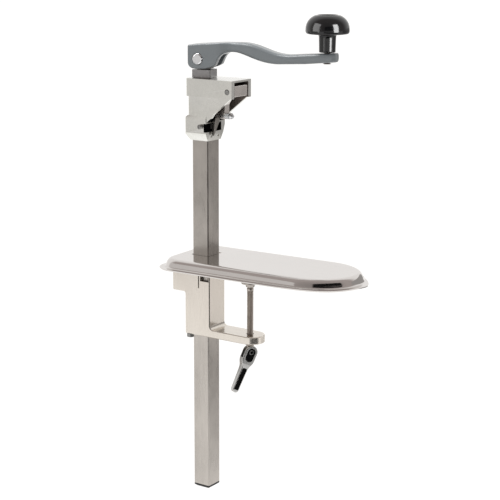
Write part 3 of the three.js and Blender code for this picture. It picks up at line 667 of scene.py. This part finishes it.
def cast_head():
    collar = (COLLAR_REAR, COLLAR_FRONT, COLLAR_HALF)
    low, high = 187.4, 207.5                                    # collar between its two tapers
    plan = squared_front(*collar, 3.5)
    head = prism(plan, low, high)
    taper = common(frustum((-15.2, 14.6, 15.2, 176.5), (*collar, low)), prism(plan, 175, 213))
    shoulder = common(frustum((*collar, high), (NECK_REAR, COLLAR_FRONT, NECK_HALF, 211.5)),
                      prism(plan, 175, 213))
    middle = common(prism(rounded([(COLLAR_REAR, 206), (COLLAR_FRONT, 203), (24.8, 209.4), (28.8, 215.2),
                                   (BOX_END, 240.4), (BOX_END, 241), (COLLAR_REAR, 241)],
                                  [0, 0, 3, 3, 0, 0, 0]), -NECK_HALF, NECK_HALF, "y"),
                    prism(squared_front(NECK_REAR, 80, NECK_HALF, 3), 190, 250))
    upper = prism(squared_front(BOX_REAR, BOX_END, BOX_HALF, 3), 238, HEAD_TOP)
    fuse(head, taper, shoulder, middle, upper)
    cut(head,
        prism(square(13.75, 1.2), 100, 185.8),                                      # socket for the bar
        prism([(22.5, 197), (15.2, 176.4), (30, 176.4), (30, 197)], -30, 30, "x"),  # far side's taper
        rod(15.2, CHAMBER_LOW, CHAMBER_HIGH, steps=72),
        block(13, 30, -30, 14, CHAMBER_LOW, 201.5),                                 # its window
        rod(8.3, 203, 212.5), rod(10.8, 212.3, 229), rod(8.1, 228, 300),            # bores of the sleeve
        block(0, 20, -6.5, 6.5, 216.5, 230),                                        # slot for the jaw's heel
        block(MOUTH_START, 80, -MOUTH_HALF, MOUTH_HALF, 150, 240),
        prism(rounded([(-16.5, 239), (16.5, 239), (16.5, 259.8), (-16.5, 259.8)], [0, 0, 1.5, 1.5]),
              MOUTH_START, 80, "x"),
        rod(3.8, -40, 40, "y", PIVOT, 40),
        rod(2.3, -40, -12, "y", COLLAR_SCREW, 24),
        *(rod(1.65, -30, 30, "x", (0, y, BAR_PIN_Z), 24) for y in (-BAR_PIN_Y, BAR_PIN_Y)))
    return bevel(head, 1.0, 3, 28)


def head_shade_paint(x, y, z, normal):
    """Walls of the mouth and box get a grey painted shade; window, chamber and bores get a black painted
    shadow.
    """
    rear_face = x < -14.5 and normal.x < -0.9
    chamber = math.hypot(x, y) < 15.4 and 100 < z < 262.2 and not rear_face
    # black painted shadow in the chamber, the bores and the chamber's window
    if chamber or 12.5 < x < 16 and 189.4 < z < 201.6 and abs(y) < 22:
        return 2
    # grey painted shade on the mouth's side walls, black painted shadow on its other faces
    if 16.9 < x < 60 and abs(y) < 17.05 and z < 260:
        return 1 if abs(normal.y) > 0.9 else 2
    return 0


place(cast_head(), "head_casting", POST, "slide_bar", "head", ["head_body"],
      inside=head_shade_paint)

cross = lathe([(0, -22.6), (0.9, -23.0), (1.3, -23.2), (2.9, -23.2), (3.45, -22.7), (3.45, 22.7),
               (2.9, 23.2), (1.3, 23.2), (0.9, 23.0), (0, 22.6)], 48, "y", PIVOT)
place(cross, "hinge_pin", POST, "slide_bar", "pin", ["cross_pin"], 50)

for i, y in enumerate((-BAR_PIN_Y, BAR_PIN_Y)):
    pin = lathe([(0, -14.2), (0.4, -14.3), (1.5, -14.3), (1.6, -14.2), (1.6, 14.2), (1.5, 14.3),
                 (0.4, 14.3), (0, 14.2)], 32, "x", (0, y, BAR_PIN_Z))
    place(pin, f"roll_pin_{i + 1}", POST, "slide_bar", "head", [f"bar_pin_{i + 1}"], 50)

screw = lathe([(0, -27.4), (2.5, -27.4), (3.0, -27.0), (3.2, -26.4), (3.2, -22.8), (2.0, -22.8), (2.0, -17),
               (0, -17)], 40, "y", COLLAR_SCREW)
cut(screw, block(COLLAR_SCREW[0] - 0.4, COLLAR_SCREW[0] + 0.4, -29, -26.4, 190, 205))
place(bevel(screw, 0.12, 2, 40), "collar_screw_head", POST, "slide_bar", "pin",
      ["collar_screw"], 40)

# ------------------------------------------------------------------ cam seat, spindle, wheel
seat = prism(rounded([(-15.3, -12.5), (12.5, -12.5), (12.5, 12.5), (-15.3, 12.5)], 1.6),
             SEAT_LOW, SEAT_HIGH)
cut(seat, prism(square(5.6, 0.4), 260, 280), rod(10.8, 260, 264.3))
place(bevel(seat, 0.45, 3, 40), "seat_block", CRANK, "cam_seat", "seat", ["cam_seat"])

stem = fuse(rod(6, 200.8, 260.8), prism(square(5.3, 0.5), 260.4, 276.4),
            block(-3.4, 3.4, -3.4, 3.4, 192.9, 201.5),
            block(-9.5, 9.5, -7.2, 7.2, 275.2, PIN_Z),
            rod(12, -7.2, 7.2, "y", (PIN_S, 0, PIN_Z), 64))
cut(stem, rod(PIN_R + 0.3, -20, 20, "y", (PIN_S, 0, PIN_Z), 56), rod(1.6, 190, 210, steps=24))
place(bevel(stem, 0.4, 2, 35), "spindle_shaft", CRANK, "spindle", "spindle", ["spindle"])


def toothed_wheel():
    teeth = 28
    pts = []
    for i in range(teeth):
        for turn, r in ((0.0, WHEEL_R), (0.18, WHEEL_R), (0.5, 13.0), (0.68, 13.0)):
            a = 2 * math.pi * (i + turn) / teeth
            pts.append((r * math.cos(a), r * math.sin(a)))
    wheel = prism(pts, WHEEL_LOW, WHEEL_HIGH)
    cone = lathe([(0, 192.4), (13.2, 192.4), (14.6, 193.6), (14.6, 199.4), (13.2, 200.6), (0, 200.6)], 96)
    wheel = common(wheel, cone)
    return cut(wheel, block(-3.7, 3.7, -3.7, 3.7, 180, 210))


place(bevel(toothed_wheel(), 0.15, 2, 40), "drive_wheel", CRANK, "spindle", "wheel",
      ["feed_wheel"])

# ------------------------------------------------------------------ crank handle
def follow(points, x):
    """Height at x of a line whose points run towards +x."""
    for (x0, y0), (x1, y1) in zip(points, points[1:]):
        if x <= x1:
            return y0 + (y1 - y0) * (x - x0) / (x1 - x0) if x1 > x0 else y1
    return points[-1][1]


def loft(stations, steps=6):
    """Skin over rounded rectangles, each (x, half width, low z, high z, corner radius)."""
    verts, faces = [], []
    for x, half, low, high, r in stations:
        r = min(r, 0.95 * half, 0.48 * (high - low))
        ring = arc(half - r, high - r, r, 0, 90, steps) + arc(r - half, high - r, r, 90, 180, steps)
        ring += arc(r - half, low + r, r, 180, 270, steps) + arc(half - r, low + r, r, 270, 360, steps)
        verts += [(x, y, z) for y, z in ring]
    n = 4 * (steps + 1)
    for k in range(len(stations) - 1):
        faces += [[k * n + i, k * n + (i + 1) % n, (k + 1) * n + (i + 1) % n, (k + 1) * n + i]
                  for i in range(n)]
    return new_object("part", verts, faces + [list(range(n)), list(range(len(verts) - n, len(verts)))])


def crank_body():
    """Skin over the crank's upper line, lower line and half width, with eased ends."""
    rear, front, ease = PIN_S - 14.8, 190.5, 1.2
    high = [(rear, 307.5), (0, 309.3), (27, 311.2), (39, 311.8), (51, 312.2)]
    high += bezier((51, 312.2), (84, 313.2), (96, 296), (128.4, 298.4), 24)
    high += [(148, 299.8), (168, 301.2), (front, 302.3)]
    low = arc(rear + 8.5, 283.9, 8.5, 180, 270, 14) + [(2, 275.4)]
    low += bezier((2, 275.4), (10, 275.6), (15, 277.4), (20.8, 281), 8)
    low += bezier((20.8, 281), (24.5, 289), (27, 297.5), (40, 299), 12)
    low += bezier((40, 299), (58, 301.2), (76, 284.8), (108.6, 284.8), 20)
    low += [(128, 285.7), (148.4, 286.6), (170, 288.6), (front, 290.4)]
    wide = [(rear, HUB), (19, HUB)] + bezier((19, HUB), (33, HUB), (35, ARM), (50, ARM), 14)
    wide += [(185.5, ARM)] + arc(185.5, ARM - 5, 5, 90, 0, 10)
    near_ends = (0.1, 0.3, 0.6, ease)
    places = sorted({round(x, 1) for x, _ in high + low + wide}
                    | {round(rear + d, 1) for d in near_ends}
                    | {round(front - d, 1) for d in near_ends})
    stations = []
    for x in places:
        end = max(0.0, ease - min(x - rear, front - x))
        inset = ease - math.sqrt(max(0.0, ease * ease - end * end))
        radius = 4.9 * (0.42 + 0.58 * min(1.0, max(0.0, (x - 22) / 30)))     # sharper on the hub
        stations.append((x, follow(wide, x) - inset, follow(low, x) + inset, follow(high, x) - inset,
                         radius))
    body = loft(stations)
    fork = [(-25, 302.5), (8, 302.5)] + bezier((8, 302.5), (20, 301.5), (28, 298), (33, 293), 10)
    fork += [(33, 265), (-25, 265)]
    cut(body, prism(fork, -7.5, 7.5, "y"), rod(PIN_R + 0.3, -30, 30, "y", (PIN_S, 0, PIN_Z), 56),
        rod(4.3, 270, 310, "z", (KNOB_S, 0, 0), 32))
    return body


place(crank_body(), "crank_arm", CRANK, "crank", "crank", ["crank_handle"], 38)

pin = lathe([(0, -HUB - 0.9), (3.4, -HUB - 1.0), (5.4, -HUB - 1.1), (6.6, -HUB - 1.0), (7.4, -HUB - 0.5),
             (PIN_R, -HUB + 0.3), (PIN_R, HUB - 0.3), (7.4, HUB + 0.5), (6.6, HUB + 1.0),
             (5.4, HUB + 1.1), (3.4, HUB + 1.0), (0, HUB + 0.9)], 64, "y", (PIN_S, 0, PIN_Z))
place(pin, "clevis_pin", CRANK, "crank", "chrome", ["fork_pin"], 60)

stud = lathe([(0, 287.0), (3.4, 287.1), (4.8, 287.3), (5.5, 287.6), (5.5, 288), (4, 288), (4, 344),
              (6.6, 344), (6.6, 346.2), (6.2, 346.6), (0, 346.6)], 48)
place(stud, "knob_rivet", KNOB, "crank", "spindle", ["knob_stud"], 50)

knob_curve = smooth_curve([(11.1, 303.8), (11.2, 310), (11.4, 318), (11.6, 323.4), (12.6, 325.8),
                           (15.5, 326.8), (21.0, 327.1), (26.5, 327.3), (28.4, 328.2), (29.3, 330.2),
                           (29.4, 333.0), (28.7, 338.2), (26.6, 343.4), (22.8, 347.9), (17.8, 351.1),
                           (14.0, 352.1)], 5)
knob = lathe([(4.5, 302.9), (10.2, 302.9), (10.8, 303.1)] + knob_curve
             + [(13.3, 352.1), (12.9, 351.7), (12.8, 351.0), (12.8, 349.2), (7.6, 349.2), (7.6, 343.4),
                (4.5, 343.4), (4.5, 302.9)], 96)
# painted shadow: the faces of the knob's recess get the black shadow material
place(knob, "knob_grip", KNOB, "knob", "knob", ["knob"], 45,
      lambda x, y, z, n: 2 if math.hypot(x, y) < 13.1 and z > 348 else 0)
disc = lathe([(0, 349.4), (10.4, 349.4), (10.4, 350.0), (10.1, 350.4), (9.4, 350.6), (0, 350.7)], 64)
place(disc, "knob_disc", KNOB, "knob", "cap_grey", ["knob_cap"], 45)

# ------------------------------------------------------------------ jaw arm, knife and its fasteners
def jaw():
    side = rounded([(9.6, 222.4), (11, 220.2), (24, 219), (24, 207.7), (36.4, 207.7), (36.4, 228),
                    (45, 240.3), (59.5, 240.3), (59.5, 255.2), (22, 255.2), (22, 240.3), (29.5, 234),
                    (29.5, 227), (11, 227), (9.6, 225.6)],
                   [0.8, 0.8, 1, 1, 1.5, 6, 2, 1, 1, 1, 1, 3, 2, 0.8, 0.8], 5)
    top = prism(rounded([(22, 240.3), (59.5, 240.3), (59.5, 255.2), (22, 255.2)], 1.0, 3), -15, 15, "y")
    arm = fuse(top, prism(side, -5.5, 5.5, "y"))
    cut(arm, rod(3.8, -40, 40, "y", PIVOT, 40), block(46.8, 58.4, -4.5, 4.5, 241.8, 260),
        rod(2.8, 0, 60, "x", (0, KNIFE_Y, KNIFE_Z), 32))
    return bevel(arm, 0.5, 2, 35)


place(jaw(), "jaw_lever", POST, "jaw", "jaw", ["jaw_arm"])


def blade():
    face = rounded([(-9, 207), (-9, 184.5), (-8, 183.5), (0.6, 203), (1.5, 217), (-8.5, 217)],
                   [0, 0.6, 0.4, 2, 1.5, 1.5], 4)
    body = prism(face, 17.4, 23.6, "x")
    cut(body, prism([(19.6, 180), (30, 180), (30, 207), (23.7, 207)], -20, 20, "y"),
        rod(2.3, 19, 40, "x", (0, KNIFE_Y, KNIFE_Z), 32))
    return bevel(body, 0.25, 2, 30)


place(blade(), "knife_blade", POST, "jaw", "knife", ["knife"])

bolt = lathe([(0, 49.7), (1.8, 49.5), (3.2, 48.6), (4.1, 46.9), (4.2, 45.1), (4.2, 44.5), (2.0, 44.5),
              (2.0, 19.3), (0, 19.3)], 48, "x", (0, KNIFE_Y, KNIFE_Z))
cut(bolt, block(48.2, 53, KNIFE_Y - 6, KNIFE_Y + 6, KNIFE_Z - 0.45, KNIFE_Z + 0.45))
place(bevel(bolt, 0.15, 2, 45), "knife_bolt", POST, "jaw", "chrome", ["knife_screw"], 40)


def ribbed_nut():
    ribs = 18
    pts = []
    for i in range(ribs):
        for turn, r in ((0.0, 4.4), (0.3, 4.4), (0.55, 3.95), (0.8, 3.95)):
            a = 2 * math.pi * (i + turn) / ribs
            pts.append((KNIFE_Y + r * math.cos(a), KNIFE_Z + r * math.sin(a)))
    nut = prism(pts, 36.8, 43.4, "x")
    return cut(nut, rod(2.3, 30, 50, "x", (0, KNIFE_Y, KNIFE_Z), 32))


place(bevel(ribbed_nut(), 0.12, 2, 40), "knife_nut", POST, "jaw", "chrome",
      ["knife_lock_nut"])

# ------------------------------------------------------------------ clamp screw with a real thread
def threaded_rod(z0, z1, radius, depth, pitch, steps=40):
    """Rod whose side is a helical ridge, closed by flat ends."""
    rows = int((z1 - z0) / (pitch / 6))
    verts, faces = [], []
    for k in range(rows + 1):
        z = z0 + (z1 - z0) * k / rows
        fade = min(1.0, (z - z0) / 2.0, (z1 - z) / 2.0)
        for i in range(steps):
            a = 2 * math.pi * i / steps
            phase = (z / pitch - i / steps) % 1.0
            ridge = abs(2 * phase - 1)
            r = radius - depth * fade * min(1.0, 1.25 * ridge)
            verts.append((r * math.cos(a), r * math.sin(a), z))
    for k in range(rows):
        for i in range(steps):
            j = (i + 1) % steps
            faces.append([k * steps + i, k * steps + j, (k + 1) * steps + j, (k + 1) * steps + i])
    faces.append(list(range(steps)))
    faces.append([rows * steps + i for i in range(steps)])
    return new_object("part", verts, faces)


thread = threaded_rod(-108, -28, 4.7, 0.75, THREAD_PITCH)
ends = [lathe([(0, -28), (4.7, -28), (4.7, -25.6), (4.1, -25), (3, -25), (3, -17.8), (0, -17.8)], 48),
        fuse(block(-2.8, 2.8, -4.7, 4.7, -118, -107.5), rod(4.7, -2.8, 2.8, "x", (0, 0, -118)))]
ends[1] = bevel(cut(ends[1], rod(2.8, -20, 20, "x", (0, 0, -118), 32)), 0.3, 2, 35)
place(join(thread, *ends), "screw_rod", SCREW, "clamp_screw", "screw", ["clamp_screw"], 50)

pad = lathe([(0, -17.4), (3.4, -17.4), (3.4, -23.5), (3.6, -23.8), (5.6, -23.8), (6.1, -23.4), (6.5, -20.6),
             (7.2, -19.5), (11.4, -19.1), (12.3, -18.8), (12.6, -18.2), (12.5, -16.4), (12.1, -15.7),
             (11.4, -15.6), (0, -15.6)], 64)
place(pad, "clamp_foot", SCREW, "screw_foot", "foot", ["screw_foot"], 45)

# ------------------------------------------------------------------ tilting lever
def lever_outline(r, tip, waist, end):
    flank = bezier((-r, -8), (-r, -19), (-waist - 0.6, -17), (-waist, -26), 12)
    pts = arc(0, 0, r, 0, 180, 20) + flank + arc(0, end + tip, tip, 180, 360, 14)
    return pts + [(-x, z) for x, z in reversed(flank)]


def stadium(r, top, bottom):
    return arc(0, top, r, 0, 180, 20) + arc(0, bottom, r, 180, 360, 20)


def strip_outline(grow):
    corners = [(-3.5 - grow, -24 + grow), (3.5 + grow, -24 + grow), (3.2 + grow, -56.5 - grow),
               (-3.2 - grow, -56.5 - grow)]
    return rounded(corners, [2.2, 2.2, 0.8, 0.8])


def lever_body():
    body = prism(lever_outline(9.6, 4.6, 5.0, -61), -FACE, FACE, "x")
    taper = prism([(-20, 30), (20, 30), (20, -12), (FACE, -18), (4.5, -34), (3.7, -70), (-3.7, -70),
                   (-4.5, -34), (-FACE, -18), (-20, -12)], -30, 30, "y")
    common(body, taper)
    bevel(body, 1.1, 4, 40)
    cut(body, block(-3.1, 3.1, -12, 12, -10.5, 12), rod(2.8, -20, 20, "x", (0, 0, 0), 32),
        prism(stadium(6.2, 0, -8), FACE - 1.2, FACE + 2, "x"),
        prism(strip_outline(0.25), 2.4, 9, "x"))
    return body


place(lever_body(), "lever_casting", LEVER, "clamp_lever", "lever", ["clamp_lever"], 38)

strip = common(prism(strip_outline(0), 2.6, 9, "x"),
               prism([(0, 0), (4.7, -18), (4.4, -34), (3.6, -70), (0, -70)], -10, 10, "y"))
place(bevel(strip, 0.3, 2, 40), "lever_strip", LEVER, "clamp_lever", "inlay",
      ["lever_inlay"])
disc = cut(prism(stadium(5.9, 0, -8), FACE - 1.05, FACE - 0.3, "x"), rod(3.4, 0, 20, "x", (0, 0, 0), 40))
place(bevel(disc, 0.2, 2, 40), "hub_plate", LEVER, "clamp_lever", "inlay", ["hub_inlay"])
axle = lathe([(0, -FACE), (2.2, -FACE), (2.5, -FACE + 0.3), (2.5, FACE - 0.9), (3.1, FACE - 0.9),
              (3.1, FACE - 0.2), (2.9, FACE), (2.4, FACE), (2.2, FACE - 0.3), (2.2, FACE - 1.2),
              (0, FACE - 1.2)], 40, "x")
# painted shadow: the dished end of the pin gets the black shadow material
place(axle, "lever_axle", LEVER, "clamp_lever", "pin", ["lever_pin"], 45,
      lambda x, y, z, n: 2 if x > 3.5 and math.hypot(y, z) < 2.35 else 0)

# ------------------------------------------------------------------ nodes kept from the frame
KEPT = {"guide_liner_upper": "liner", "guide_liner_lower": "liner", "plate_screw_1": "zinc",
        "plate_screw_2": "zinc", "weld_nut_1": "zinc", "weld_nut_2": "zinc", "spindle_bush": "bronze",
        "lift_sleeve": "bronze", "thrust_washer": "seat", "wheel_screw": "pin", "jaw_spring": "pin"}
for name, material in KEPT.items():
    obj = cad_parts[name]
    obj.data.materials.clear()
    obj.data.materials.append(M[material])
    obj.data.set_sharp_from_angle(angle=math.radians(40))


# ------------------------------------------------------------------ floor, light and camera (m)
WHITE = (1, 0.99, 0.98)
GREY_BROWN, DARK_BROWN = (0.45, 0.405, 0.39), (0.30, 0.275, 0.265)


def glow_material(name, base, roughness, specular, emission, strength):
    """Surface that shines by itself, for the set around the object."""
    mat = bpy.data.materials.new(name)
    mat.use_nodes = True
    bsdf = mat.node_tree.nodes["Principled BSDF"]
    bsdf.inputs["Base Color"].default_value = (base, base, base, 1)
    bsdf.inputs["Roughness"].default_value = roughness
    bsdf.inputs["Specular IOR Level"].default_value = specular
    bsdf.inputs["Emission Color"].default_value = (*emission, 1)
    bsdf.inputs["Emission Strength"].default_value = strength
    return mat


def pale_floor():
    half, z = 40, -0.55
    floor = new_object("studio_floor", [(-half, -half, z), (half, -half, z), (half, half, z),
                                        (-half, half, z)], [[0, 1, 2, 3]])
    floor.data.materials.append(glow_material("studio_floor", 0.12, 0.9, 0.1, WHITE, 0.96))


def studio_world():
    world = bpy.data.worlds.new("studio")
    scene.world = world
    world.use_nodes = True
    tree = world.node_tree
    back = tree.nodes["Background"]
    coord = node(tree, "ShaderNodeTexCoord")
    split = node(tree, "ShaderNodeSeparateXYZ")
    tree.links.new(coord.outputs["Generated"], split.inputs[0])
    # white behind the object, grey-brown around the middle, darker behind the camera
    across = plus(tree, times(tree, split.outputs["X"], -0.57), times(tree, split.outputs["Y"], 0.82))
    front = mix_colour(tree, remap(tree, across, 0.0, 1.0, -0.9, -0.3), DARK_BROWN, GREY_BROWN)
    tree.links.new(mix_colour(tree, remap(tree, across, 0.0, 1.0, 0.02, 0.4), front, WHITE),
                   back.inputs["Color"])
    back.inputs["Strength"].default_value = 1.0


def card(name, centre, normal, width, height, level):
    """Flat card seen only in reflections."""
    w, h = width / 2, height / 2
    obj = new_object(name, [(-w, -h, 0), (w, -h, 0), (w, h, 0), (-w, h, 0)], [[0, 1, 2, 3]])
    turn = Vector(normal).to_track_quat("Z", "Y").to_matrix().to_4x4()
    obj.data.transform(Matrix.Translation(centre) @ turn)
    obj.data.materials.append(glow_material(name, 0.005, 0.5, 0.0, (1, 0.97, 0.95), level))
    for ray in ("camera", "diffuse", "transmission", "volume_scatter", "shadow"):
        setattr(obj, "visible_" + ray, False)


def area_light(name, position, target, size, power, size_y=None, lit=()):
    """Soft light that no view sees, and no mirror unless it lights only the pieces named in lit."""
    data = bpy.data.lights.new(name, "AREA")
    data.energy = power
    data.size = size
    if size_y:
        data.shape = "RECTANGLE"
        data.size_y = size_y
    obj = bpy.data.objects.new(name, data)
    obj.location = position
    obj.rotation_euler = (Vector(target) - Vector(position)).to_track_quat("-Z", "Y").to_euler()
    obj.visible_camera = False
    obj.visible_glossy = bool(lit)
    if lit:
        obj.light_linking.receiver_collection = bpy.data.collections.new(name + "_lit")
        for piece in lit:
            obj.light_linking.receiver_collection.objects.link(bpy.data.objects[piece])
    scene.collection.objects.link(obj)


# ways that the cards face
FROM_RIGHT, FROM_REAR, FROM_LEFT = (-0.82, 0.57, 0.0), (-0.55, -0.82, 0.0), (0.57, 0.82, 0.0)
# what the handle's own lights aim at
HANDLE, ARM_MIDDLE = ("crank_arm", "clevis_pin"), (0.1, 0, 0.3)
GRIP, GRIP_MIDDLE = ("knob_grip",), (0.1, 0.04, 0.33)

pale_floor()
studio_world()
card("dark_flag", (0.92, -0.66, -0.23), FROM_RIGHT, 1.8, 0.7, 0.0)
card("nose_flag", (0.92, -0.66, 0.66), FROM_RIGHT, 1.5, 0.5, 0.0)
card("grey_flag", (0.48, 0.80, 0.085), FROM_REAR, 1.2, 0.53, 0.38)
card("frame_flag", (0.48, 0.80, -0.27), FROM_REAR, 1.2, 0.18, 0.9)
card("foot_flag", (0.30, 0.55, -0.40), FROM_REAR, 0.6, 0.22, 0.35)
card("bar_flag", (-0.361, -0.411, 0.005), FROM_LEFT, 0.5, 0.16, 0.46)
card("head_flag", (-0.361, -0.411, 0.20), FROM_LEFT, 0.6, 0.22, 0.70)
card("low_flag", (-1.47, -2.0, -0.475), (0.556, 0.802, 0.0), 2.2, 0.15, 0.6)
area_light("key", (-1.6, -1.9, 1.9), (0, 0, 0.05), 1.4, 34)
area_light("top", (0.3, 0.5, 2.4), (0, 0, 0), 1.8, 26)
area_light("strip_top", (-0.65, -0.55, 2.2), (0.02, 0, 0.3), 0.9, 24, 0.9, HANDLE)
area_light("box_left", (-1.15, -2.15, 0.85), ARM_MIDDLE, 0.7, 5, 1.3, HANDLE)
area_light("box_right", (2.5, -0.45, 0.95), ARM_MIDDLE, 0.35, 9, 1.0, HANDLE)
area_light("knob_left", (-1.05, -1.85, 0.85), GRIP_MIDDLE, 1.6, 48, 2.4, GRIP)
area_light("knob_right", (0.835, -0.132, 0.477), GRIP_MIDDLE, 0.35, 13.5, 0.77, GRIP)

camera_data = bpy.data.cameras.new("camera")
camera_data.lens = 106.0
camera_data.sensor_width = 36
camera_data.clip_end = 200
camera = bpy.data.objects.new("camera", camera_data)
scene.collection.objects.link(camera)
camera.location = (1.1312, -1.6339, 0.4742)
forward, roll = Vector((-0.55564, 0.80212, -0.21879)), math.radians(0.17)
turn = forward.to_track_quat("-Z", "Y").to_matrix().to_4x4() @ Matrix.Rotation(roll, 4, "Z")
camera.rotation_euler = turn.to_euler()
scene.camera = camera
scene.view_settings.view_transform = "Standard"
